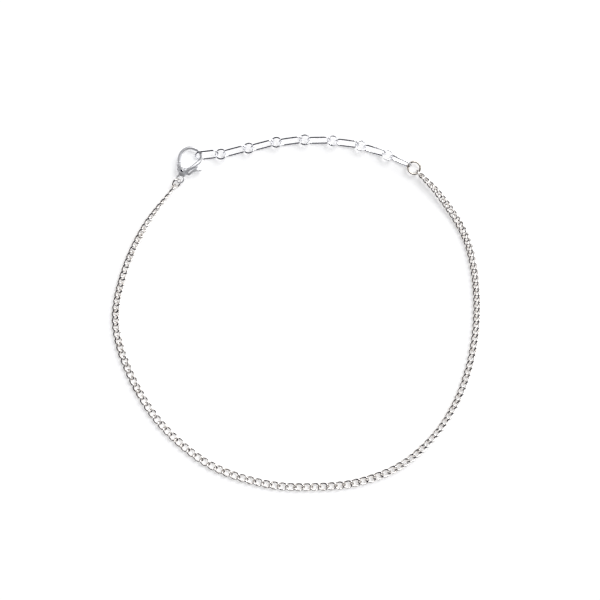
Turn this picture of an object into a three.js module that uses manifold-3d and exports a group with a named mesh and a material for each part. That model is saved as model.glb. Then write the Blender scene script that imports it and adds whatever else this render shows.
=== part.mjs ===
// A chain anklet lying closed on a flat surface, seen with its clasp at the upper left.
// A twisted curb chain runs round the loop. An extender of long ovals and round rings closes it,
// with the first oval hooked in a lobster clasp.
// Millimetres, +Z up, origin at the middle of the underside.

import * as THREE from "three";
import { mergeVertices } from "three/addons/utils/BufferGeometryUtils.js";
import Module from "manifold-3d";

// The loop, from its middle to the chain's middle line at its widest
const loopRadius = 42;

// Curb chain. The two links where its halves meet are twisted more, so that they pass clear.
const curbLength = 2.85;
const curbWidth = 1.95;
const curbWire = 0.44;
const curbTwist = 42;
const curbPitchShare = 0.82;
const meetingTwist = 47;
const meetingShare = 0.405;

// Extender chain
const ovalLength = 5.6;
const ovalWidth = 2.6;
const extenderWire = 0.4;
const ringDiameter = 2.7;
const ringTilt = -15;
const linkGap = 0.13;

// Jump rings
const endRingDiameter = 3.3;
const endRingWire = 0.5;
const endRingTilt = -3;
const endRingPitch = -5;
const endRingLift = 1.03;
const claspRingDiameter = 2.5;
const claspRingWire = 0.44;
const claspRingRoll = -50;
const claspRingBearing = 228;

// Clasp
const claspLength = 9;
const claspDepth = 2;
const hookDepth = 0.75;
const gateDepth = 1.5;
const webDepth = 0.8;
const slotClearance = 0.1;
const pinDiameter = 0.6;
const pinClearance = 0.05;
const hubDiameter = 1.4;
const cheekDiameter = 1.9;
const gateReach = 1.82;
const eyeletDiameter = 2.1;
const eyeletWire = 0.45;
const slotReach = 2.5;
const leverSwing = 22;
const noseCut = { from: 95, to: 200 };
const gateSlot = { from: 90 - leverSwing, to: 206 };
const tabSlot = { from: -34 - leverSwing, to: 20 };
const claspTurn = -21;
const claspPlace = { across: -0.631, along: 0.7243 };

// How many flats each shape is made of
const linkSteps = 10;
const linkSides = 5;
const eyeletSides = 6;
const roundSteps = 16;
const wedgeSteps = 6;
const hookChamfer = 0.29;

// The extender: the bearing of each oval, and its roll about its own length
const extenderLie = [
  { bearing: 3, roll: 46 },
  { bearing: 12, roll: 57 },
  { bearing: 12, roll: 59 },
  { bearing: 5, roll: 57 },
  { bearing: -2, roll: 59 },
  { bearing: -10, roll: 57 },
  { bearing: -19, roll: 60 },
  { bearing: -26, roll: 72 },
];

// The route of the curb chain between its two end rings: bearing from the loop's middle, and distance
// from it in shares of the loop's radius
const chainRoute = [
  { bearing: 40, distance: 1 },
  { bearing: 25, distance: 1 },
  { bearing: 10, distance: 0.981 },
  { bearing: -8, distance: 0.9714 },
  { bearing: -25, distance: 0.9833 },
  { bearing: -40, distance: 0.9952 },
  { bearing: -55, distance: 0.9976 },
  { bearing: -70, distance: 0.9738 },
  { bearing: -85, distance: 0.9452 },
  { bearing: -100, distance: 0.9405 },
  { bearing: -120, distance: 0.9476 },
  { bearing: -140, distance: 0.95 },
  { bearing: -155, distance: 0.9571 },
  { bearing: -170, distance: 0.9762 },
  { bearing: -180, distance: 0.981 },
  { bearing: -195, distance: 0.9571 },
  { bearing: -210, distance: 0.9452 },
];

// How the chain lies along its route: relative pitch, and roll about the route
const chainLie = [
  { at: 0.0, pitch: 0.9, roll: -63 },
  { at: 0.1, pitch: 0.9, roll: 33 },
  { at: 0.2, pitch: 0.9, roll: 32 },
  { at: 0.26, pitch: 0.95, roll: 24 },
  { at: 0.33, pitch: 0.97, roll: 44 },
  { at: 0.4, pitch: 1.0, roll: 24 },
  { at: 0.48, pitch: 1.13, roll: 0 },
  { at: 0.62, pitch: 1.15, roll: 0 },
  { at: 0.75, pitch: 1.02, roll: 0 },
  { at: 0.84, pitch: 0.92, roll: 6 },
  { at: 0.9, pitch: 0.92, roll: 22 },
  { at: 0.94, pitch: 0.92, roll: 38 },
  { at: 1.0, pitch: 0.92, roll: 100 },
];

// The hook's centre line from the spine round to the nose, in shares of the clasp's length.
// Depth is between the hook's own depth at 0 and the clasp's at 1.
const hookStations = [
  { across: 0.03, along: 0.2, width: 0.11, depth: 1 },
  { across: 0.144, along: 0.344, width: 0.106, depth: 0.9 },
  { across: 0.254, along: 0.5, width: 0.115, depth: 0.45 },
  { across: 0.3, along: 0.61, width: 0.108, depth: 0.1 },
  { across: 0.3, along: 0.71, width: 0.095, depth: 0 },
  { across: 0.25, along: 0.79, width: 0.098, depth: 0 },
  { across: 0.17, along: 0.835, width: 0.104, depth: 0 },
  { across: 0.075, along: 0.845, width: 0.104, depth: 0.1 },
  { across: -0.037, along: 0.828, width: 0.1, depth: 0.2 },
  { across: -0.128, along: 0.772, width: 0.096, depth: 0.3 },
  { across: -0.189, along: 0.689, width: 0.096, depth: 0.4 },
  { across: -0.217, along: 0.583, width: 0.098, depth: 0.5 },
  { across: -0.206, along: 0.478, width: 0.104, depth: 0.55 },
  { across: -0.183, along: 0.394, width: 0.115, depth: 0.55 },
  { across: -0.135, along: 0.325, width: 0.115, depth: 0.55 },
];

// Outlines of the clasp's flat parts, as across and along in shares of the clasp's length
const cheekOutline = [
  [-0.085, 0.07],
  [-0.135, 0.15],
  [-0.138, 0.215],
  [-0.11, 0.272],
  [-0.055, 0.3],
  [0.02, 0.304],
  [0.105, 0.385],
  [0.178, 0.302],
  [0.105, 0.19],
  [0.085, 0.105],
  [0.07, 0.07],
];
const gateOutline = [
  [-0.033, 0.2],
  [-0.127, 0.163],
  [-0.165, 0.2],
  [-0.2, 0.262],
  [-0.225, 0.36],
  [-0.1, 0.42],
  [-0.087, 0.306],
  [-0.02, 0.272],
];
const tabOutline = [
  [0.133, 0.15],
  [0.191, 0.162],
  [0.244, 0.255],
  [0.31, 0.308],
  [0.42, 0.37],
  [0.434, 0.43],
  [0.405, 0.415],
  [0.345, 0.458],
  [0.29, 0.436],
  [0.195, 0.29],
  [0.125, 0.186],
];
const armOutline = [
  [-0.033, 0.25],
  [-0.033, 0.135],
  [0.15, 0.158],
  [0.18, 0.24],
  [0.1, 0.2],
];
const pinPlace = [-0.033, 0.2];
const hookedPlace = [0.141, 0.689];

const wasm = await Module();
wasm.setup();

function radians(degrees) {
  return THREE.MathUtils.degToRad(degrees);
}

// Boolean joins and cuts

function toSolid(geometry) {
  const bare = geometry.clone();
  bare.deleteAttribute("normal");
  bare.deleteAttribute("uv");
  const merged = mergeVertices(bare);
  const vertProperties = new Float32Array(merged.attributes.position.array);
  const triVerts = new Uint32Array(merged.index.array);
  return new wasm.Manifold(new wasm.Mesh({ numProp: 3, vertProperties, triVerts }));
}

function toGeometry(solid) {
  const mesh = solid.getMesh();
  const geometry = new THREE.BufferGeometry();
  geometry.setAttribute("position", new THREE.BufferAttribute(new Float32Array(mesh.vertProperties), 3));
  geometry.setIndex(new THREE.BufferAttribute(new Uint32Array(mesh.triVerts), 1));
  return geometry;
}

function join(geometries) {
  return toGeometry(geometries.map(toSolid).reduce((whole, piece) => whole.add(piece)));
}

function keepInside(geometry, tool) {
  return toGeometry(toSolid(geometry).intersect(toSolid(tool)));
}

function cut(geometry, tools) {
  return toGeometry(tools.map(toSolid).reduce((whole, tool) => whole.subtract(tool), toSolid(geometry)));
}

// Wires: a faceted section whose area is that of the round wire, with its flats facing in and out

function sectionRadius(wire, sides) {
  const equalArea = Math.sqrt((2 * Math.PI) / (sides * Math.sin((2 * Math.PI) / sides)));
  return (wire / 2) * equalArea;
}

function closedWire(centreLine, wire, sides) {
  const steps = centreLine.length;
  const radius = sectionRadius(wire, sides);
  const positions = [];
  const triangles = [];
  for (let step = 0; step < steps; step += 1) {
    const here = centreLine[step];
    const before = centreLine[(step + steps - 1) % steps];
    const after = centreLine[(step + 1) % steps];
    const along = after.clone().sub(before).normalize();
    const outward = here.clone().addScaledVector(along, -here.dot(along)).normalize();
    const across = along.clone().cross(outward);
    for (let side = 0; side < sides; side += 1) {
      const turn = ((side + 0.5) / sides) * 2 * Math.PI;
      const corner = here.clone()
        .addScaledVector(outward, radius * Math.cos(turn))
        .addScaledVector(across, radius * Math.sin(turn));
      positions.push(corner.x, corner.y, corner.z);
      const nextStep = ((step + 1) % steps) * sides;
      const nextSide = (side + 1) % sides;
      const base = step * sides;
      triangles.push(base + side, nextStep + side, nextStep + nextSide);
      triangles.push(base + side, nextStep + nextSide, base + nextSide);
    }
  }
  const geometry = new THREE.BufferGeometry();
  geometry.setAttribute("position", new THREE.Float32BufferAttribute(positions, 3));
  geometry.setIndex(triangles);
  return outwardFacing(geometry);
}

// Turns every triangle over if the closed shape is inside out
function outwardFacing(geometry) {
  const corners = geometry.attributes.position;
  const index = geometry.index;
  const [a, b, c] = [new THREE.Vector3(), new THREE.Vector3(), new THREE.Vector3()];
  let volume = 0;
  for (let first = 0; first < index.count; first += 3) {
    a.fromBufferAttribute(corners, index.getX(first));
    b.fromBufferAttribute(corners, index.getX(first + 1));
    c.fromBufferAttribute(corners, index.getX(first + 2));
    volume += a.dot(b.cross(c)) / 6;
  }
  if (volume < 0) {
    for (let first = 0; first < index.count; first += 3) {
      const swap = index.getX(first + 1);
      index.setX(first + 1, index.getX(first + 2));
      index.setX(first + 2, swap);
    }
  }
  return geometry;
}

function roundLink(diameter, wire, steps, sides) {
  const radius = (diameter - wire) / 2;
  const centreLine = [];
  for (let step = 0; step < steps; step += 1) {
    const turn = (step / steps) * 2 * Math.PI;
    centreLine.push(new THREE.Vector3(radius * Math.cos(turn), radius * Math.sin(turn), 0));
  }
  return closedWire(centreLine, wire, sides);
}

// Two half circles joined by straight sides, long in X
function ovalLink(length, width, wire, steps, sides) {
  const radius = (width - wire) / 2;
  const straight = (length - width) / 2;
  const centreLine = [];
  for (let step = 0; step < steps; step += 1) {
    const turn = ((step + 0.5) / steps) * 2 * Math.PI;
    const end = Math.sign(Math.cos(turn)) * straight;
    centreLine.push(new THREE.Vector3(end + radius * Math.cos(turn), radius * Math.sin(turn), 0));
  }
  return closedWire(centreLine, wire, sides);
}

// An ellipse twisted about its length, so that the next link lies flat in it
function curbLink(twisted) {
  const halfLength = (curbLength - curbWire) / 2;
  const halfWidth = (curbWidth - curbWire) / 2;
  const centreLine = [];
  for (let step = 0; step < linkSteps; step += 1) {
    const turn = (step / linkSteps) * 2 * Math.PI;
    const twist = radians(twisted) * Math.cos(turn);
    const aside = halfWidth * Math.sin(turn);
    const x = halfLength * Math.cos(turn);
    centreLine.push(new THREE.Vector3(x, aside * Math.cos(twist), aside * Math.sin(twist)));
  }
  return closedWire(centreLine, curbWire, linkSides);
}

// Rolled about its length, pitched nose up, then turned to its bearing
function lay(geometry, place, bearing, roll, pitch = 0) {
  return geometry
    .rotateX(radians(roll))
    .rotateY(radians(-pitch))
    .rotateZ(radians(bearing))
    .translate(place.x, place.y, place.z);
}

function restOnSurface(geometry) {
  geometry.computeBoundingBox();
  return geometry.translate(0, 0, -geometry.boundingBox.min.z);
}

function stepFrom(place, bearing, distance) {
  const turn = radians(bearing);
  return new THREE.Vector3(place.x + distance * Math.cos(turn), place.y + distance * Math.sin(turn), 0);
}

// From the middle of one link to the middle of the next, with their wires one gap apart
function reach(lengthA, wireA, lengthB, wireB) {
  return (lengthA - wireA) / 2 + (lengthB - wireB) / 2 - (wireA + wireB) / 2 - linkGap;
}

// The clasp, in its own frame: the eyelet's middle is the origin and the hook points to +Y

function claspPoint(across, along) {
  return new THREE.Vector2(across * claspLength, along * claspLength);
}

function slab(points, depth) {
  const geometry = new THREE.ExtrudeGeometry(new THREE.Shape(points), { depth, bevelEnabled: false });
  return geometry.translate(0, 0, -depth / 2);
}

function claspSlab(outline, depth) {
  return slab(outline.map(([across, along]) => claspPoint(across, along)), depth);
}

function disc(middle, diameter, depth) {
  const points = [];
  for (let corner = 0; corner < roundSteps; corner += 1) {
    const turn = ((corner + 0.5) / roundSteps) * 2 * Math.PI;
    points.push(new THREE.Vector2(Math.cos(turn), Math.sin(turn)).multiplyScalar(diameter / 2).add(middle));
  }
  return slab(points, depth);
}

function wedge(middle, radius, { from, to }, depth) {
  const points = [middle.clone()];
  for (let corner = 0; corner <= wedgeSteps; corner += 1) {
    const turn = radians(THREE.MathUtils.lerp(from, to, corner / wedgeSteps));
    points.push(new THREE.Vector2(Math.cos(turn), Math.sin(turn)).multiplyScalar(radius).add(middle));
  }
  return slab(points, depth);
}

// An eight-sided bar through the hook's stations
function hookBar() {
  const corners = [
    [0.5, hookChamfer],
    [hookChamfer, 0.5],
    [-hookChamfer, 0.5],
    [-0.5, hookChamfer],
    [-0.5, -hookChamfer],
    [-hookChamfer, -0.5],
    [hookChamfer, -0.5],
    [0.5, -hookChamfer],
  ];
  const middles = hookStations.map(({ across, along }) => claspPoint(across, along));
  const positions = [];
  const triangles = [];
  hookStations.forEach(({ width, depth }, station) => {
    const before = middles[Math.max(station - 1, 0)];
    const after = middles[Math.min(station + 1, middles.length - 1)];
    const along = after.clone().sub(before).normalize();
    const thick = THREE.MathUtils.lerp(hookDepth, claspDepth, depth);
    for (const [wide, deep] of corners) {
      const aside = wide * width * claspLength;
      positions.push(
        middles[station].x + along.y * aside,
        middles[station].y - along.x * aside,
        deep * thick,
      );
    }
  });
  const sides = corners.length;
  for (let station = 0; station < middles.length - 1; station += 1) {
    for (let side = 0; side < sides; side += 1) {
      const here = station * sides;
      const there = here + sides;
      const next = (side + 1) % sides;
      triangles.push(here + side, there + side, there + next, here + side, there + next, here + next);
    }
  }
  const last = (middles.length - 1) * sides;
  for (let side = 1; side < sides - 1; side += 1) {
    triangles.push(0, side, side + 1, last, last + side + 1, last + side);
  }
  const geometry = new THREE.BufferGeometry();
  geometry.setAttribute("position", new THREE.Float32BufferAttribute(positions, 3));
  geometry.setIndex(triangles);
  return outwardFacing(geometry);
}

// The nose ends at the arc that the gate's tip sweeps
function claspBody() {
  const pin = claspPoint(...pinPlace);
  const slotDepth = webDepth + 2 * slotClearance;
  const eyelet = roundLink(eyeletDiameter, eyeletWire, linkSteps, eyeletSides);
  const hook = cut(hookBar(), [wedge(pin, gateReach + slotClearance, noseCut, claspDepth)]);
  const whole = join([claspSlab(cheekOutline, claspDepth), hook, eyelet]);
  return cut(whole, [
    disc(pin, hubDiameter + 2 * slotClearance, slotDepth),
    wedge(pin, gateReach, gateSlot, slotDepth),
    wedge(pin, slotReach, tabSlot, slotDepth),
    disc(pin, pinDiameter + 2 * pinClearance, claspDepth * 2),
  ]);
}

// Gate, hub and thumb tab, one casting: its middle layer runs between the cheeks
function claspLever() {
  const pin = claspPoint(...pinPlace);
  const sweep = disc(pin, gateReach * 2, claspDepth);
  const besideCheeks = disc(pin, cheekDiameter + 2 * slotClearance, claspDepth * 2);
  const gate = cut(keepInside(claspSlab(gateOutline, gateDepth), sweep), [besideCheeks]);
  const gateWeb = keepInside(claspSlab(gateOutline, webDepth), sweep);
  const armWeb = claspSlab(armOutline, webDepth);
  const hub = disc(pin, hubDiameter, webDepth);
  const lever = join([gate, gateWeb, armWeb, hub, claspSlab(tabOutline, gateDepth)]);
  return cut(lever, [disc(pin, pinDiameter + 2 * pinClearance, claspDepth)]);
}

function claspPin() {
  return disc(claspPoint(...pinPlace), pinDiameter, claspDepth - 2 * pinClearance);
}

// A place on the clasp, in the anklet's frame. The eyelet's own place is in shares of the loop's radius.
function onClasp(across, along) {
  const local = claspPoint(across, along).rotateAround(new THREE.Vector2(), radians(claspTurn));
  const eyelet = new THREE.Vector2(claspPlace.across, claspPlace.along).multiplyScalar(loopRadius);
  return new THREE.Vector3(eyelet.x + local.x, eyelet.y + local.y, 0);
}

function placeClasp(geometry) {
  return lay(geometry, onClasp(0, 0).setZ(claspDepth / 2), claspTurn, 0);
}

// The silver plate as it looks on each piece

function silver(color, roughness) {
  return new THREE.MeshStandardMaterial({ color, metalness: 1, roughness });
}
const brightSilver = silver(0xdcdde2, 0.16);
const softSilver = silver(0xcfcdcb, 0.24);
const darkSilver = silver(0xb8b2a8, 0.3);

const anklet = new THREE.Group();

function addPiece(name, geometry, material) {
  const mesh = new THREE.Mesh(geometry, material);
  mesh.name = name;
  anklet.add(mesh);
}

function buildClasp() {
  addPiece("clasp_body", placeClasp(claspBody()), brightSilver);
  addPiece("clasp_lever", placeClasp(claspLever()), brightSilver);
  addPiece("clasp_pin", placeClasp(claspPin()), brightSilver);
}

// Lays ovals and rings in turn from the clasp's hook, and returns the middle of the end ring
function buildExtender() {
  const hooked = onClasp(...hookedPlace);
  let here = stepFrom(hooked, extenderLie[0].bearing, (ovalLength - extenderWire) / 2);
  for (const [number, { bearing, roll }] of extenderLie.entries()) {
    const last = number === extenderLie.length - 1;
    const oval = ovalLink(ovalLength, ovalWidth, extenderWire, linkSteps, linkSides);
    const laid = restOnSurface(lay(oval, new THREE.Vector3(), bearing, roll));
    addPiece(`extender_oval_${number + 1}`, laid.translate(here.x, here.y, 0), brightSilver);
    if (last) {
      const reachRing = reach(ovalLength, extenderWire, endRingDiameter, endRingWire);
      return stepFrom(here, bearing, reachRing);
    }
    const reachRing = reach(ovalLength, extenderWire, ringDiameter, extenderWire);
    const nextBearing = extenderLie[number + 1].bearing;
    const middle = stepFrom(here, bearing, reachRing);
    middle.z = laid.boundingBox.max.z / 2;
    const ring = roundLink(ringDiameter, extenderWire, linkSteps, linkSides);
    const turned = (bearing + nextBearing) / 2;
    addPiece(`extender_ring_${number + 1}`, lay(ring, middle, turned, ringTilt), brightSilver);
    here = stepFrom(middle, nextBearing, reachRing);
  }
}

function routePoint({ bearing, distance }) {
  return stepFrom(new THREE.Vector3(), bearing, distance * loopRadius);
}

// A value of the chain's lie, between the rows on either side
function lieAt(share, name) {
  const after = Math.max(1, chainLie.findIndex((row) => row.at >= share));
  const [low, high] = [chainLie[after - 1], chainLie[after]];
  return THREE.MathUtils.mapLinear(share, low.at, high.at, low[name], high[name]);
}

function buildChain(endRing, claspRing) {
  const firstReach = reach(curbLength, curbWire, endRingDiameter, endRingWire);
  const lastReach = reach(curbLength, curbWire, claspRingDiameter, claspRingWire);
  const inner = chainRoute.map(routePoint);
  const start = inner[0].clone().sub(endRing).setZ(0).setLength(firstReach).add(endRing);
  const finish = inner[inner.length - 1].clone().sub(claspRing).setZ(0).setLength(lastReach).add(claspRing);
  const route = new THREE.CatmullRomCurve3([start, ...inner, finish].map((point) => point.setZ(0)));
  const routeLength = route.getLength();
  const count = Math.round(routeLength / ((curbLength - 2 * curbWire) * curbPitchShare)) + 1;
  const pitches = [0];
  for (let number = 1; number < count; number += 1) {
    pitches.push(pitches[number - 1] + lieAt((number - 0.5) / (count - 1), "pitch"));
  }
  const meeting = Math.round(count * meetingShare);
  const links = pitches.map((pitch, number) => {
    const share = pitch / pitches[count - 1];
    const place = route.getPointAt(share);
    const along = route.getTangentAt(share);
    const bearing = THREE.MathUtils.radToDeg(Math.atan2(along.y, along.x));
    const twisted = number === meeting || number === meeting - 1 ? meetingTwist : curbTwist;
    return restOnSurface(lay(curbLink(twisted), place, bearing, lieAt(share, "roll")));
  });
  addPiece("chain_right", join(links.slice(0, meeting)), softSilver);
  addPiece("chain_left", join(links.slice(meeting)), softSilver);
}

function buildAnklet() {
  buildClasp();
  const endRing = buildExtender();
  const endBearing = extenderLie[extenderLie.length - 1].bearing;
  const endLink = roundLink(endRingDiameter, endRingWire, linkSteps, linkSides);
  const endPlace = endRing.clone().setZ(endRingLift);
  addPiece("end_jump_ring", lay(endLink, endPlace, endBearing, endRingTilt, endRingPitch), darkSilver);
  const eyelet = onClasp(0, 0);
  const claspReach = reach(eyeletDiameter, eyeletWire, claspRingDiameter, claspRingWire);
  const claspRing = stepFrom(eyelet, claspRingBearing, claspReach);
  const claspLink = roundLink(claspRingDiameter, claspRingWire, linkSteps, linkSides);
  const laid = restOnSurface(lay(claspLink, new THREE.Vector3(), claspRingBearing, claspRingRoll));
  addPiece("clasp_jump_ring", laid.translate(claspRing.x, claspRing.y, 0), softSilver);
  buildChain(endRing, claspRing);
}

// Stands the finished anklet on its origin
function centreOnOrigin() {
  const box = new THREE.Box3().setFromObject(anklet);
  const middle = box.getCenter(new THREE.Vector3());
  anklet.position.set(-middle.x, -middle.y, -box.min.z);
}

buildAnklet();
centreOnOrigin();

export default anklet;
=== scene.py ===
# %% [markdown]
# A silver-plated chain anklet lies closed on a white table. Its loop is a twisted curb chain, its
# fastener a lobster clasp of cast metal, and between them runs an extender of long ovals and round
# rings. The clasp is hooked in the first oval. This lesson dresses the model of it: each piece is
# made finely, laid exactly where the model has it, and given its own plated finish.

# %% Load the frame
import math

import bmesh
import bpy
import numpy as np
from mathutils import Matrix, Vector


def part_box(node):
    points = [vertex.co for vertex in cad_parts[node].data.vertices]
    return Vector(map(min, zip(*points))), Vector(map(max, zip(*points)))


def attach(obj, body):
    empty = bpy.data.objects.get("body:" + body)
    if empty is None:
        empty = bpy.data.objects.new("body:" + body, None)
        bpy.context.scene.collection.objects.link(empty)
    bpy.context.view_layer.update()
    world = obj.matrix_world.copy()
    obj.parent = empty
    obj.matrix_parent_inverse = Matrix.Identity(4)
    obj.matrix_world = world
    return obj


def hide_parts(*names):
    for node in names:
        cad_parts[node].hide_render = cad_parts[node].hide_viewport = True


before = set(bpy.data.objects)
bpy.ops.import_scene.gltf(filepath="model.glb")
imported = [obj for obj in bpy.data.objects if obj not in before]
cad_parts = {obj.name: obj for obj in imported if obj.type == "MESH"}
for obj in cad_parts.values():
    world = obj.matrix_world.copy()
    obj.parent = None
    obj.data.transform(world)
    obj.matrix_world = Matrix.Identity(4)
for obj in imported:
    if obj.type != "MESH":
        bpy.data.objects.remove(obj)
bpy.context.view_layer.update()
MM = 0.001
print("nodes:", len(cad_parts))

# %% [markdown]
# Shader maths reads best as plain expressions. A small class wraps a socket, so that adding or
# multiplying two of them makes the Math node that does it. Every other kind of node comes from the
# one method `node`, which takes its kind, its settings, and what its sockets hold.


# %% Wrap a socket
class Signal:
    def __init__(self, socket):
        self.socket = socket
        self.tree = socket.id_data

    @staticmethod
    def node(tree, kind, settings, inputs, output=0):
        made = tree.nodes.new(kind)
        for name, value in settings.items():
            if name == "stops":
                for stop, (place, grey) in zip(made.color_ramp.elements, value):
                    stop.position = place
                    stop.color = (grey, grey, grey, 1)
            else:
                setattr(made, name, value)
        for name, value in inputs.items():
            if isinstance(value, Signal):
                tree.links.new(value.socket, made.inputs[name])
            else:
                made.inputs[name].default_value = value
        return Signal(made.outputs[output])

    def math(self, operation, first, second):
        return Signal.node(self.tree, "ShaderNodeMath", {"operation": operation}, {0: first, 1: second})

    def __add__(self, other):
        return self.math("ADD", self, other)

    def __sub__(self, other):
        return self.math("SUBTRACT", self, other)

    def __rsub__(self, other):
        return self.math("SUBTRACT", other, self)

    def __mul__(self, other):
        return self.math("MULTIPLY", self, other)

    __radd__ = __add__
    __rmul__ = __mul__


def mix_colours(share, low, high):
    settings = {"data_type": "RGBA", "clamp_factor": True}
    return Signal.node(share.tree, "ShaderNodeMix", settings, {0: share, 6: low, 7: high}, output=2)


print("signals ready")

# %% [markdown]
# Silver plate is a mirror with faults. Handling leaves a haze in soft patches, polishing leaves fine
# scratches, and tarnish gathers as brown or blue-grey clouds where cloth doesn't reach. The chain's finish
# is a little darker and warmer than the rest: partly its own brown tarnish clouds, partly a painted
# reflection of brownish surroundings. One recipe serves all the pieces, with its own colours and amounts
# for each finish. The castings are tumbled dull, so they are treated as only partly metallic. It measures
# the surface in millimetres in the object's own space, so that every link differs and none of it slides
# when the camera moves.


# %% Mix the silver finishes
def noise(place, scale, detail, low, high):
    cloud = Signal.node(
        place.tree,
        "ShaderNodeTexNoise",
        {},
        {"Vector": place, "Scale": scale, "Detail": detail, "Roughness": 0.6},
    )
    stops = [(low, 0.0), (high, 1.0)]
    return Signal.node(place.tree, "ShaderNodeValToRGB", {"stops": stops}, {"Fac": cloud})


def silver_finish(name, bright, tarnish, tarnish_share, polish, haze, metal=1.0):
    material = bpy.data.materials.new(name)
    material.use_nodes = True
    tree = material.node_tree
    shader = tree.nodes["Principled BSDF"]
    shader.inputs["Metallic"].default_value = metal
    place = Signal.node(tree, "ShaderNodeTexCoord", {}, {}, output="Object")
    millimetres = Signal.node(
        tree, "ShaderNodeVectorMath", {"operation": "SCALE"}, {"Vector": place, "Scale": 1 / MM}
    )
    clouds = noise(millimetres, 0.55, 4.0, 0.42, 0.72)
    handled = noise(millimetres, 1.9, 3.0, 0.35, 0.7)
    stretched = Signal.node(
        tree,
        "ShaderNodeMapping",
        {},
        {"Vector": millimetres, "Rotation": (0.6, 0.4, 0.9), "Scale": (2, 26, 9)},
    )
    scratches = noise(stretched, 1.0, 5.0, 0.5, 0.78)
    colour = mix_colours(clouds * tarnish_share, (*bright, 1), (*tarnish, 1))
    roughness = polish + haze * handled + 0.05 * scratches
    dents = Signal.node(
        tree,
        "ShaderNodeBump",
        {},
        {"Strength": 0.35, "Distance": 0.02 * MM, "Height": handled + 0.25 * scratches},
    )
    tree.links.new(colour.socket, shader.inputs["Base Color"])
    tree.links.new(roughness.socket, shader.inputs["Roughness"])
    tree.links.new(dents.socket, shader.inputs["Normal"])
    print(f"{name}: polish {polish}, tarnish {tarnish_share}")
    return material


bright_silver = silver_finish(
    "bright plated silver", (0.93, 0.93, 0.95), (0.62, 0.63, 0.68), 0.35, 0.07, 0.09
)
# painted reflection: the chain's warmer, slightly darker base and brown clouds stand in for reflected
# brownish surroundings, over tarnish that varies at random
silver_with_painted_reflection_tint = silver_finish("handled plated silver, painted reflection tint", (0.9, 0.88, 0.86), (0.56, 0.5, 0.44), 0.5, 0.12, 0.12)
cast_silver = silver_finish(
    "tumbled cast silver", (0.97, 0.97, 0.98), (0.6, 0.63, 0.72), 0.4, 0.3, 0.1, metal=0.55
)
dark_silver = silver_finish("tarnished plated silver", (0.66, 0.62, 0.57), (0.3, 0.26, 0.22), 0.7, 0.16, 0.14)

# %% [markdown]
# Every link is a closed wire: a centre line with a round section swept along it. The section keeps its
# side turned away from the link's middle, so the wire closes on itself without a twist. A helper turns
# arrays of corners into a smooth mesh, lets it ride on the rigid body of the anklet, and hides the nodes
# of the model that it stands for.


# %% Sweep a wire and add a piece
def closed_wire(centre_line, radii, sides):
    ahead = np.roll(centre_line, -1, axis=0)
    behind = np.roll(centre_line, 1, axis=0)
    along = ahead - behind
    along /= np.linalg.norm(along, axis=1, keepdims=True)
    outward = centre_line - along * np.sum(centre_line * along, axis=1, keepdims=True)
    outward /= np.linalg.norm(outward, axis=1, keepdims=True)
    across = np.cross(along, outward)
    turn = np.arange(sides) / sides * 2 * math.pi
    ring = outward[:, None] * np.cos(turn)[None, :, None] + across[:, None] * np.sin(turn)[None, :, None]
    corners = centre_line[:, None] + ring * radii[:, None, None]
    steps = len(centre_line)
    step, side = np.meshgrid(np.arange(steps), np.arange(sides), indexing="ij")
    here, there = step * sides, (step + 1) % steps * sides
    beside = (side + 1) % sides
    faces = np.stack([here + side, here + beside, there + beside, there + side], axis=-1)
    return corners.reshape(-1, 3), faces.reshape(-1, 4)


def add_mesh(name, corners, faces, material):
    mesh = bpy.data.meshes.new(name)
    mesh.from_pydata((corners * MM).tolist(), [], faces if isinstance(faces, list) else faces.tolist())
    mesh.validate()
    mesh.polygons.foreach_set("use_smooth", [True] * len(mesh.polygons))
    mesh.materials.append(material)
    piece = bpy.data.objects.new(name, mesh)
    bpy.context.collection.objects.link(piece)
    return piece


def settle(piece, body, nodes):
    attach(piece, body)
    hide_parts(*nodes)
    triangles = sum(len(face.vertices) - 2 for face in piece.data.polygons)
    print(f"{piece.name}: {triangles} triangles")


# %% [markdown]
# The extender's ovals and rings and both jump rings are each one node of the model, so the model
# itself says where they lie: the middle of a node's corners is the link's middle, and the directions in
# which the corners spread most and least are its length and its axis. A round ring is made from wire bent
# until its ends meet, and the fine seam where they meet is kept as a shallow groove.

# %% Name the wires' sizes
OVAL = {"length": 5.6, "width": 2.6, "wire": 0.4}
RING = {"diameter": 2.7, "wire": 0.4}
END_RING = {"diameter": 3.3, "wire": 0.5}
CLASP_RING = {"diameter": 2.5, "wire": 0.44}
WIRE_STEPS = 64
WIRE_SIDES = 16
SEAM_HALF = 0.018
SEAM_DEPTH = 0.2


# %% Find how a node lies
def lie_of(node):
    corners = np.array([corner.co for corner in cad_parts[node].data.vertices]) / MM
    corners = np.unique(corners.round(4), axis=0)
    middle = corners.mean(axis=0)
    _, axes = np.linalg.eigh(np.cov((corners - middle).T))
    length, width, normal = axes[:, 2], axes[:, 1], axes[:, 0]
    if np.dot(np.cross(length, width), normal) < 0:
        normal = -normal
    return middle, np.stack([length, width, normal])


def lay_on_node(corners, node):
    middle, axes = lie_of(node)
    return corners @ axes + middle


def rest(corners):
    return corners - [0, 0, corners[:, 2].min()]


# %% Make the ovals and the rings
def oval_line(length, width, wire):
    turn = (np.arange(WIRE_STEPS) + 0.5) / WIRE_STEPS * 2 * math.pi
    radius, straight = (width - wire) / 2, (length - width) / 2
    across = np.sign(np.cos(turn)) * straight + radius * np.cos(turn)
    return np.stack([across, radius * np.sin(turn), np.zeros(WIRE_STEPS)], axis=1)


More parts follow.
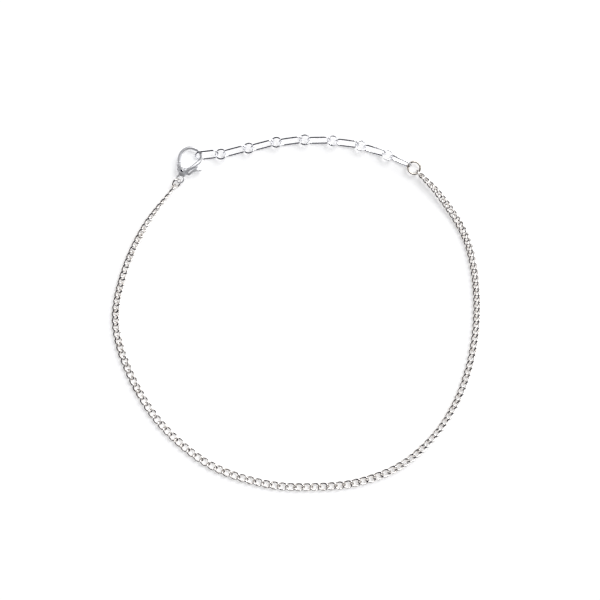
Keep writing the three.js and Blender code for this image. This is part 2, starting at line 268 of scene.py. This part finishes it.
def ring_with_seam(diameter, wire):
    seam = np.array([-1.6, -0.8, 0, 0.8, 1.6]) * SEAM_HALF
    rest_of_turn = np.linspace(seam[-1], 2 * math.pi + seam[0], WIRE_STEPS)[1:-1]
    turn = np.concatenate([seam, rest_of_turn])
    depth = np.concatenate([[0, 0.3, 1, 0.3, 0], np.zeros(len(rest_of_turn))]) * SEAM_DEPTH
    radius = (diameter - wire) / 2
    line = np.stack([radius * np.cos(turn), radius * np.sin(turn), np.zeros(len(turn))], axis=1)
    return closed_wire(line, wire / 2 * (1 - depth), WIRE_SIDES)


for number in range(1, 9):
    node = f"extender_oval_{number}"
    line = oval_line(**OVAL)
    corners, faces = closed_wire(line, np.full(WIRE_STEPS, OVAL["wire"] / 2), WIRE_SIDES)
    laid = rest(lay_on_node(corners, node))
    settle(add_mesh(f"oval_{number}", laid, faces, bright_silver), "anklet", [node])


def add_ring(node, name, sizes, material):
    corners, faces = ring_with_seam(**sizes)
    settle(add_mesh(name, lay_on_node(corners, node), faces, material), "anklet", [node])


for number in range(1, 8):
    add_ring(f"extender_ring_{number}", f"ring_{number}", RING, bright_silver)
add_ring("end_jump_ring", "jump_ring_of_the_extender", END_RING, dark_silver)
add_ring("clasp_jump_ring", "jump_ring_of_the_clasp", CLASP_RING, silver_with_painted_reflection_tint)

# %% [markdown]
# The curb chain has 121 links. Each is an ellipse of wire whose two ends are twisted against each
# other, so that the next link lies flat in it. Only the two where the halves meet are twisted a little
# more. Arrays and curve modifiers can repeat a link, but they can't give each one its own roll, and the
# roll is what makes the chain glint unevenly. So one link is worked out, and each copy is turned and
# moved by formula along the route that the model follows.

# %% Describe the chain's route
CURB = {"length": 2.85, "width": 1.95, "wire": 0.44, "twist": 42}
MEETING_TWIST = 47
MEETING_SHARE = 0.405
PITCH_SHARE = 0.82
LINK_GAP = 0.13
LINK_STEPS = 44
LINK_SIDES = 14
CLASP_TURN = -21
CLASP_SHARE = np.array([-0.631, 0.7243])
PIN_PLACE = np.array([-0.297, 1.8])
LOOP_RADIUS = 42

CHAIN_ROUTE = [
    {"bearing": 40, "distance": 1},
    {"bearing": 25, "distance": 1},
    {"bearing": 10, "distance": 0.981},
    {"bearing": -8, "distance": 0.9714},
    {"bearing": -25, "distance": 0.9833},
    {"bearing": -40, "distance": 0.9952},
    {"bearing": -55, "distance": 0.9976},
    {"bearing": -70, "distance": 0.9738},
    {"bearing": -85, "distance": 0.9452},
    {"bearing": -100, "distance": 0.9405},
    {"bearing": -120, "distance": 0.9476},
    {"bearing": -140, "distance": 0.95},
    {"bearing": -155, "distance": 0.9571},
    {"bearing": -170, "distance": 0.9762},
    {"bearing": -180, "distance": 0.981},
    {"bearing": -195, "distance": 0.9571},
    {"bearing": -210, "distance": 0.9452},
]
CHAIN_LIE = [
    {"at": 0.0, "pitch": 0.9, "roll": -63},
    {"at": 0.1, "pitch": 0.9, "roll": 33},
    {"at": 0.2, "pitch": 0.9, "roll": 32},
    {"at": 0.26, "pitch": 0.95, "roll": 24},
    {"at": 0.33, "pitch": 0.97, "roll": 44},
    {"at": 0.4, "pitch": 1.0, "roll": 24},
    {"at": 0.48, "pitch": 1.13, "roll": 0},
    {"at": 0.62, "pitch": 1.15, "roll": 0},
    {"at": 0.75, "pitch": 1.02, "roll": 0},
    {"at": 0.84, "pitch": 0.92, "roll": 6},
    {"at": 0.9, "pitch": 0.92, "roll": 22},
    {"at": 0.94, "pitch": 0.92, "roll": 38},
    {"at": 1.0, "pitch": 0.92, "roll": 100},
]


# %% Find the middle of the loop from the clasp's pin
def turned(point, degrees):
    angle = math.radians(degrees)
    along = np.array([math.cos(angle), math.sin(angle)])
    across = np.array([-math.sin(angle), math.cos(angle)])
    return point[0] * along + point[1] * across


pin_middle = sum(np.array(corner[:2]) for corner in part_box("clasp_pin")) / 2 / MM
CLASP_PLACE = pin_middle - turned(PIN_PLACE, CLASP_TURN)
LOOP_MIDDLE = CLASP_PLACE - CLASP_SHARE * LOOP_RADIUS
print("loop's middle:", LOOP_MIDDLE.round(4))


# %% Run a smooth curve through the route
def reach(length, wire, ring):
    """From the middle of the last link to the middle of the ring that it hangs in."""
    half_lengths = (length - wire) / 2 + (ring["diameter"] - ring["wire"]) / 2
    return half_lengths - (wire + ring["wire"]) / 2 - LINK_GAP


def outer_end(inner, ring_node, ring):
    middle = lie_of(ring_node)[0][:2] - LOOP_MIDDLE
    towards = (inner - middle) / np.linalg.norm(inner - middle)
    return middle + towards * reach(CURB["length"], CURB["wire"], ring)


def curve_point(points, share):
    """A centripetal spline through the points, which never loops or overshoots."""
    place = share * (len(points) - 1)
    first = min(int(place), len(points) - 2)
    rest_of_way = place - first
    padded = np.vstack([2 * points[0] - points[1], points, 2 * points[-1] - points[-2]])
    before, start, end, after = padded[first : first + 4]
    gaps = [np.linalg.norm(pair) ** 0.5 for pair in (start - before, end - start, after - end)]
    leave = (start - before) / gaps[0] - (end - before) / (gaps[0] + gaps[1]) + (end - start) / gaps[1]
    arrive = (end - start) / gaps[1] - (after - start) / (gaps[1] + gaps[2]) + (after - end) / gaps[2]
    leave, arrive = leave * gaps[1], arrive * gaps[1]
    square, cube = rest_of_way**2, rest_of_way**3
    return (
        (2 * cube - 3 * square + 1) * start
        + (cube - 2 * square + rest_of_way) * leave
        + (3 * square - 2 * cube) * end
        + (cube - square) * arrive
    )


bearings = np.radians([row["bearing"] for row in CHAIN_ROUTE])
radii = LOOP_RADIUS * np.array([row["distance"] for row in CHAIN_ROUTE])
inner = np.stack([radii * np.cos(bearings), radii * np.sin(bearings)], axis=1)
start = outer_end(inner[0], "end_jump_ring", END_RING)
finish = outer_end(inner[-1], "clasp_jump_ring", CLASP_RING)
route = np.vstack([start, inner, finish])
samples = np.linspace(0, 1, 201)
drawn = np.array([curve_point(route, share) for share in samples])
lengths = np.concatenate([[0], np.cumsum(np.linalg.norm(np.diff(drawn, axis=0), axis=1))])
print(f"route: {lengths[-1]:.1f} mm")


# %% Twist one link and lay out the chain
def curb_link(twist):
    turn = np.arange(LINK_STEPS) / LINK_STEPS * 2 * math.pi
    twisted = math.radians(twist) * np.cos(turn)
    aside = (CURB["width"] - CURB["wire"]) / 2 * np.sin(turn)
    along = (CURB["length"] - CURB["wire"]) / 2 * np.cos(turn)
    line = np.stack([along, aside * np.cos(twisted), aside * np.sin(twisted)], axis=1)
    return closed_wire(line, np.full(LINK_STEPS, CURB["wire"] / 2), LINK_SIDES)


def turn_about(axis, degrees):
    angle = math.radians(degrees)
    matrix = np.eye(3)
    first, second = [(1, 2), (2, 0), (0, 1)][axis]
    matrix[first, first] = matrix[second, second] = math.cos(angle)
    matrix[first, second], matrix[second, first] = -math.sin(angle), math.sin(angle)
    return matrix


def lie_at(share, name):
    return np.interp(share, [row["at"] for row in CHAIN_LIE], [row[name] for row in CHAIN_LIE])


def laid_link(share, twist):
    at = np.interp(share * lengths[-1], lengths, samples)
    place = curve_point(route, at)
    ahead = curve_point(route, min(at + 0.0001, 1)) - curve_point(route, max(at - 0.0001, 0))
    bearing = math.degrees(math.atan2(ahead[1], ahead[0]))
    corners, faces = curb_link(twist)
    rolled = corners @ (turn_about(2, bearing) @ turn_about(0, lie_at(share, "roll"))).T
    return rest(rolled) + [*(place + LOOP_MIDDLE), 0], faces


pitch = (CURB["length"] - 2 * CURB["wire"]) * PITCH_SHARE
count = round(lengths[-1] / pitch) + 1
between = [lie_at((number - 0.5) / (count - 1), "pitch") for number in range(1, count)]
shares = np.concatenate([[0], np.cumsum(between)])
shares /= shares[-1]
meeting = round(count * MEETING_SHARE)
print(f"chain: {count} links, halves meet after {meeting}")


# %% Add the two halves of the chain
def chain_part(name, node, numbers):
    all_corners, all_faces, before = [], [], 0
    for number in numbers:
        twist = MEETING_TWIST if number in (meeting - 1, meeting) else CURB["twist"]
        corners, faces = laid_link(shares[number], twist)
        all_corners.append(corners)
        all_faces.append(faces + before)
        before += len(corners)
    piece = add_mesh(name, np.vstack(all_corners), np.vstack(all_faces), silver_with_painted_reflection_tint)
    settle(piece, "anklet", [node])


chain_part("curb_chain_right", "chain_right", range(meeting))
chain_part("curb_chain_left", "chain_left", range(meeting, count))

# %% [markdown]
# The clasp's body and lever are castings: patterns poured in metal and tumbled until every edge is
# round. Modelling each fillet by hand would be long work, so the parts are first made roughly, as a
# bar swept round the hook, pillows with domed faces and a ring for the eyelet, and cut with plain
# tools. Then they are rebuilt together from cubes of a few hundredths of a millimetre and relaxed,
# which wears the joins and edges down as tumbling does. Blender's remesh takes no cube under a tenth of
# a millimetre, so all of this is done at a thousand times the size.

# %% Name the clasp's sizes
CLASP_LENGTH = 9
CLASP_DEPTH = 2
HOOK_DEPTH = 0.75
GATE_DEPTH = 1.5
WEB_DEPTH = 0.8
SLOT_GAP = 0.1
PIN_GAP = 0.05
CUBE = 0.036
BODY_PASSES = 26
LEVER_PASSES = 9
PIN_DIAMETER = 0.6
HUB_DIAMETER = 1.4
CHEEK_DIAMETER = 1.9
GATE_REACH = 1.82
TAB_SLOT_REACH = 2.5
LEVER_SWING = 22
GATE_SLOT = (88 - LEVER_SWING, 206)
TAB_SLOT = (-34 - LEVER_SWING, 20)
HOOK_GAP = (95, 200)
EYELET = {"diameter": 2.1, "wire": 0.45}

HOOK_STATIONS = [
    {"across": 0.03, "along": 0.2, "width": 0.11, "depth": 1},
    {"across": 0.144, "along": 0.344, "width": 0.106, "depth": 0.9},
    {"across": 0.254, "along": 0.5, "width": 0.115, "depth": 0.45},
    {"across": 0.3, "along": 0.61, "width": 0.108, "depth": 0.1},
    {"across": 0.3, "along": 0.71, "width": 0.095, "depth": 0},
    {"across": 0.25, "along": 0.79, "width": 0.098, "depth": 0},
    {"across": 0.17, "along": 0.835, "width": 0.104, "depth": 0},
    {"across": 0.075, "along": 0.845, "width": 0.104, "depth": 0.1},
    {"across": -0.037, "along": 0.828, "width": 0.1, "depth": 0.2},
    {"across": -0.128, "along": 0.772, "width": 0.096, "depth": 0.3},
    {"across": -0.189, "along": 0.689, "width": 0.096, "depth": 0.4},
    {"across": -0.217, "along": 0.583, "width": 0.098, "depth": 0.5},
    {"across": -0.206, "along": 0.478, "width": 0.104, "depth": 0.55},
    {"across": -0.183, "along": 0.394, "width": 0.115, "depth": 0.55},
    {"across": -0.135, "along": 0.325, "width": 0.115, "depth": 0.55},
]
CHEEK_OUTLINE = [
    (-0.085, 0.07),
    (-0.135, 0.15),
    (-0.138, 0.215),
    (-0.11, 0.272),
    (-0.055, 0.3),
    (0.02, 0.304),
    (0.085, 0.34),
    (0.16, 0.29),
    (0.105, 0.19),
    (0.085, 0.105),
    (0.07, 0.07),
]
GATE_OUTLINE = [
    (-0.033, 0.2),
    (-0.127, 0.163),
    (-0.165, 0.2),
    (-0.2, 0.262),
    (-0.225, 0.36),
    (-0.1, 0.42),
    (-0.087, 0.306),
    (-0.02, 0.272),
]
TAB_OUTLINE = [
    (0.133, 0.15),
    (0.191, 0.162),
    (0.244, 0.255),
    (0.31, 0.308),
    (0.42, 0.37),
    (0.434, 0.43),
    (0.405, 0.415),
    (0.345, 0.458),
    (0.29, 0.436),
    (0.195, 0.29),
    (0.125, 0.186),
]
ARM_OUTLINE = [(-0.033, 0.25), (-0.033, 0.135), (0.15, 0.158), (0.18, 0.24), (0.1, 0.2)]


# %% Make rough solids and cut them
def rough_solid(corners, faces):
    mesh = bpy.data.meshes.new("rough")
    mesh.from_pydata(np.asarray(corners).tolist(), [], [list(face) for face in faces])
    shell = bmesh.new()
    shell.from_mesh(mesh)
    bmesh.ops.recalc_face_normals(shell, faces=shell.faces)
    shell.to_mesh(mesh)
    shell.free()
    piece = bpy.data.objects.new("rough", mesh)
    bpy.context.collection.objects.link(piece)
    return piece


def settle_modifiers(piece):
    """Keeps what the modifiers make as the piece's own mesh."""
    evaluated = piece.evaluated_get(bpy.context.evaluated_depsgraph_get())
    finished = bpy.data.meshes.new_from_object(evaluated)
    piece.modifiers.clear()
    piece.data = finished
    return piece


def cut(piece, *tools, operation="DIFFERENCE"):
    for tool in tools:
        edge = piece.modifiers.new("cut", "BOOLEAN")
        edge.operation, edge.solver, edge.object = operation, "EXACT", tool
    settle_modifiers(piece)
    for tool in tools:
        bpy.data.objects.remove(tool)
    return piece


# %% Make slabs, discs and wedges
def slab(points, depth):
    count, half = len(points), depth / 2
    low = np.column_stack([points, np.full(count, -half)])
    high = np.column_stack([points, np.full(count, half)])
    sides = [(step, (step + 1) % count, count + (step + 1) % count, count + step) for step in range(count)]
    return rough_solid(np.vstack([low, high]), [range(count), range(count, 2 * count), *sides])


def arc(middle, radius, from_angle, to_angle, steps):
    turn = np.radians(np.linspace(from_angle, to_angle, steps))
    return middle + radius * np.stack([np.cos(turn), np.sin(turn)], axis=1)


def disc(diameter, depth):
    return slab(arc(PIN_PLACE, diameter / 2, 0, 354, 60), depth)


def wedge(radius, from_angle, to_angle, depth):
    return slab(np.vstack([PIN_PLACE, arc(PIN_PLACE, radius, from_angle, to_angle, 30)]), depth)


def softened(outline):
    """The outline in millimetres, with its corners cut off twice."""
    points = np.array(outline) * CLASP_LENGTH
    for _ in range(2):
        ahead = np.roll(points, -1, axis=0)
        points = np.stack([0.87 * points + 0.13 * ahead, 0.13 * points + 0.87 * ahead], axis=1).reshape(-1, 2)
    return points


# %% Make pillows and the hook's bar
PILLOW_RINGS = [1.0, 0.94, 0.84, 0.7, 0.5, 0.28]
PILLOW_DROP = 0.3


def pillow(outline, depth):
    """A slab whose two faces are domed, lower by a share of the depth at its rim."""
    points = softened(outline)
    middle, count = points.mean(axis=0), len(points)
    rings = []
    for share in PILLOW_RINGS:
        height = depth / 2 * (1 - PILLOW_DROP * share**3)
        rings.append(np.column_stack([middle + (points - middle) * share, np.full(count, height)]))
    upper = rings[::-1]
    lower = [ring * [1, 1, -1] for ring in rings]
    return swept(upper + lower)


def swept(rings):
    """A solid through rings of as many corners each, closed at both ends."""
    count = len(rings[0])
    faces = [range(count), range((len(rings) - 1) * count, len(rings) * count)]
    for row in range(len(rings) - 1):
        for step in range(count):
            here, beside = row * count + step, row * count + (step + 1) % count
            faces.append((here, beside, beside + count, here + count))
    return rough_solid(np.vstack(rings), faces)


BAR_SIDES = 28
BAR_ROUNDNESS = 0.85


def hook_bar():
    stations = np.array([list(row.values()) for row in HOOK_STATIONS], dtype=float)
    finer = np.array([curve_point(stations, share) for share in np.linspace(0, 1, 120)])
    places = finer[:, :2] * CLASP_LENGTH
    along = np.gradient(places, axis=0)
    along /= np.linalg.norm(along, axis=1, keepdims=True)
    turn = np.arange(BAR_SIDES) / BAR_SIDES * 2 * math.pi
    wide = np.sign(np.cos(turn)) * np.abs(np.cos(turn)) ** BAR_ROUNDNESS
    deep = np.sign(np.sin(turn)) * np.abs(np.sin(turn)) ** BAR_ROUNDNESS
    rings = []
    for place, ahead, row in zip(places, along, finer):
        half_width = row[2] * CLASP_LENGTH / 2
        half_depth = (HOOK_DEPTH + (CLASP_DEPTH - HOOK_DEPTH) * min(max(row[3], 0), 1)) / 2
        aside = np.outer(wide * half_width, [ahead[1], -ahead[0]])
        rings.append(np.column_stack([place + aside, deep * half_depth]))
    return swept(rings)


# %% Cast the clasp's body and lever
def cast(name, parts, cube, passes, material):
    whole = bmesh.new()
    for part in parts:
        whole.from_mesh(part.data)
        bpy.data.objects.remove(part)
    mesh = bpy.data.meshes.new(name)
    whole.to_mesh(mesh)
    whole.free()
    piece = bpy.data.objects.new(name, mesh)
    bpy.context.collection.objects.link(piece)
    cubes = piece.modifiers.new("cubes", "REMESH")
    cubes.mode, cubes.voxel_size = "VOXEL", cube
    worn = piece.modifiers.new("worn", "SMOOTH")
    worn.factor, worn.iterations = 0.5, passes
    settle_modifiers(piece)
    spin = Matrix.Rotation(math.radians(CLASP_TURN), 4, "Z")
    place = Matrix.Translation((*CLASP_PLACE, CLASP_DEPTH / 2)) @ spin
    piece.data.transform(Matrix.Scale(MM, 4) @ place)
    piece.data.polygons.foreach_set("use_smooth", [True] * len(piece.data.polygons))
    piece.data.materials.clear()
    piece.data.materials.append(material)
    return piece


def body_tools():
    slot_depth = WEB_DEPTH + 2 * SLOT_GAP
    return [
        disc(HUB_DIAMETER + 2 * SLOT_GAP, slot_depth),
        wedge(GATE_REACH + SLOT_GAP, *GATE_SLOT, slot_depth),
        wedge(TAB_SLOT_REACH, *TAB_SLOT, slot_depth),
        disc(PIN_DIAMETER + 2 * PIN_GAP, 2 * CLASP_DEPTH),
    ]


def clasp_body_parts():
    hook = cut(hook_bar(), wedge(GATE_REACH + SLOT_GAP, *HOOK_GAP, 2 * CLASP_DEPTH), *body_tools())
    cheeks = cut(pillow(CHEEK_OUTLINE, CLASP_DEPTH), *body_tools())
    turn = np.arange(WIRE_STEPS) / WIRE_STEPS * 2 * math.pi
    radius = (EYELET["diameter"] - EYELET["wire"]) / 2
    line = radius * np.stack([np.cos(turn), np.sin(turn), np.zeros(WIRE_STEPS)], axis=1)
    eyelet = rough_solid(*closed_wire(line, np.full(WIRE_STEPS, EYELET["wire"] / 2), WIRE_SIDES))
    return [hook, cheeks, eyelet]


def clasp_lever_parts():
    bore = PIN_DIAMETER + 2 * PIN_GAP
    gate = cut(pillow(GATE_OUTLINE, GATE_DEPTH), disc(2 * GATE_REACH, 2 * CLASP_DEPTH), operation="INTERSECT")
    gate = cut(gate, disc(CHEEK_DIAMETER + 2 * SLOT_GAP, 2 * CLASP_DEPTH))
    web = slab(np.array(GATE_OUTLINE) * CLASP_LENGTH, WEB_DEPTH)
    web = cut(web, disc(2 * GATE_REACH, 2 * CLASP_DEPTH), operation="INTERSECT")
    arm = slab(np.array(ARM_OUTLINE) * CLASP_LENGTH, WEB_DEPTH)
    layers = [cut(part, disc(bore, 2 * CLASP_DEPTH)) for part in (web, arm, disc(HUB_DIAMETER, WEB_DEPTH))]
    return [gate, pillow(TAB_OUTLINE, GATE_DEPTH), *layers]


clasp_body = cast("cast_clasp_body", clasp_body_parts(), CUBE, BODY_PASSES, cast_silver)
settle(clasp_body, "anklet", ["clasp_body"])
clasp_lever = cast("cast_clasp_lever", clasp_lever_parts(), CUBE, LEVER_PASSES, cast_silver)
settle(clasp_lever, "lever", ["clasp_lever"])

# %% [markdown]
# The lever turns on a rivet. Its ends are pressed flat in the holes of the cheeks and show as two small
# discs with a softened rim, so it is turned like a peg on a lathe: a short outline swept round its axis.

# %% Turn the rivet
RIVET_STEPS = 40
RIVET_HEAD = 1.2
RIVET_RISE = 0.04


def turned_rivet(node):
    low, high = (np.array(corner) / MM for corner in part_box(node))
    middle, radius = (low + high) / 2, (high[0] - low[0]) / 2
    half = (high[2] - low[2]) / 2
    top = half + RIVET_RISE
    outline = [(0.4, top), (0.8, top - 0.01), (RIVET_HEAD - 0.06, top - 0.03), (RIVET_HEAD, top - 0.08)]
    outline += [(RIVET_HEAD, half - 0.15), (1, half - 0.25)]
    outline += [(share, -height) for share, height in reversed(outline)]
    turn = np.arange(RIVET_STEPS) / RIVET_STEPS * 2 * math.pi
    rim = radius * np.stack([np.cos(turn), np.sin(turn)], axis=1)
    rows = [np.column_stack([share * rim, np.full(RIVET_STEPS, height)]) for share, height in outline]
    corners = np.vstack(rows) + middle
    faces = [list(range(RIVET_STEPS)), list(reversed(range(len(corners) - RIVET_STEPS, len(corners))))]
    for row in range(len(rows) - 1):
        for step in range(RIVET_STEPS):
            upper, beside = row * RIVET_STEPS, (step + 1) % RIVET_STEPS
            lower = upper + RIVET_STEPS
            faces.append([upper + step, lower + step, lower + beside, upper + beside])
    return corners, faces


rivet_corners, rivet_faces = turned_rivet("clasp_pin")
rivet = add_mesh("rivet", rivet_corners, rivet_faces, bright_silver)
settle(rivet, "anklet", ["clasp_pin"])

# %% [markdown]
# The photograph was taken from straight above on a white table, under a broad soft light that comes
# from the upper right. A polished surface shows what stands around it, so the light is as important as
# the metal. Two low, wide sun lamps stand for pale walls to the left and right. A stronger one, higher
# up, is the key light. The paper glows a little, which keeps it white, and the dark room above gives the
# thin dark line along the top of each wire.

# %% Stand the table
TABLE_SIZE = 6.0
PAPER_GLOW = 0.46
half = TABLE_SIZE / 2 / MM
table_corners = np.array([[-half, -half, 0], [half, -half, 0], [half, half, 0], [-half, half, 0]])
table = add_mesh("table", table_corners, [[0, 1, 2, 3]], None)
paper = bpy.data.materials.new("white_paper")
paper.use_nodes = True
paper_tree = paper.node_tree
paper_place = Signal.node(paper_tree, "ShaderNodeTexCoord", {}, {}, output="Object")
fibres = noise(paper_place, 900.0, 4.0, 0.3, 0.7)
paper_shader = paper_tree.nodes["Principled BSDF"]
paper_colour = mix_colours(fibres, (0.93, 0.93, 0.93, 1), (0.95, 0.95, 0.95, 1))
paper_tree.links.new(paper_colour.socket, paper_shader.inputs["Base Color"])
paper_shader.inputs["Roughness"].default_value = 0.95
paper_shader.inputs["Specular IOR Level"].default_value = 0.1
paper_shader.inputs["Emission Color"].default_value = (1, 1, 1, 1)
paper_shader.inputs["Emission Strength"].default_value = PAPER_GLOW
table.data.materials[0] = paper


# %% Light the table
def sun(name, bearing, height, strength, spread):
    lamp = bpy.data.lights.new(name, "SUN")
    lamp.energy = strength
    lamp.angle = math.radians(spread)
    light = bpy.data.objects.new(name, lamp)
    bearing, height = math.radians(bearing), math.radians(height)
    towards = Vector(
        (math.cos(height) * math.cos(bearing), math.cos(height) * math.sin(bearing), math.sin(height))
    )
    light.rotation_euler = towards.to_track_quat("Z", "Y").to_euler()
    bpy.context.collection.objects.link(light)


sun("right_light", 5, 22, 0.5, 36)
sun("left_light", 185, 22, 0.45, 36)
sun("key_light", 50, 47, 2.1, 44)
world = bpy.data.worlds.new("room")
world.use_nodes = True
world.node_tree.nodes["Background"].inputs["Color"].default_value = (0.02, 0.02, 0.03, 1)
bpy.context.scene.world = world
bpy.context.scene.view_settings.view_transform = "Standard"

# %% Aim the camera
VIEW_WIDTH = 136.2
LENS = 100
SENSOR = 36
VIEW_MIDDLE = (0.856, 2.909)
camera_data = bpy.data.cameras.new("camera")
camera_data.lens = LENS
camera_data.sensor_width = SENSOR
camera_data.clip_start = 0.01
camera = bpy.data.objects.new("camera", camera_data)
distance = VIEW_WIDTH * LENS / SENSOR
camera.location = (VIEW_MIDDLE[0] * MM, VIEW_MIDDLE[1] * MM, (distance + 1) * MM)
bpy.context.collection.objects.link(camera)
bpy.context.scene.camera = camera
print(f"camera {distance:.0f} mm above the table")
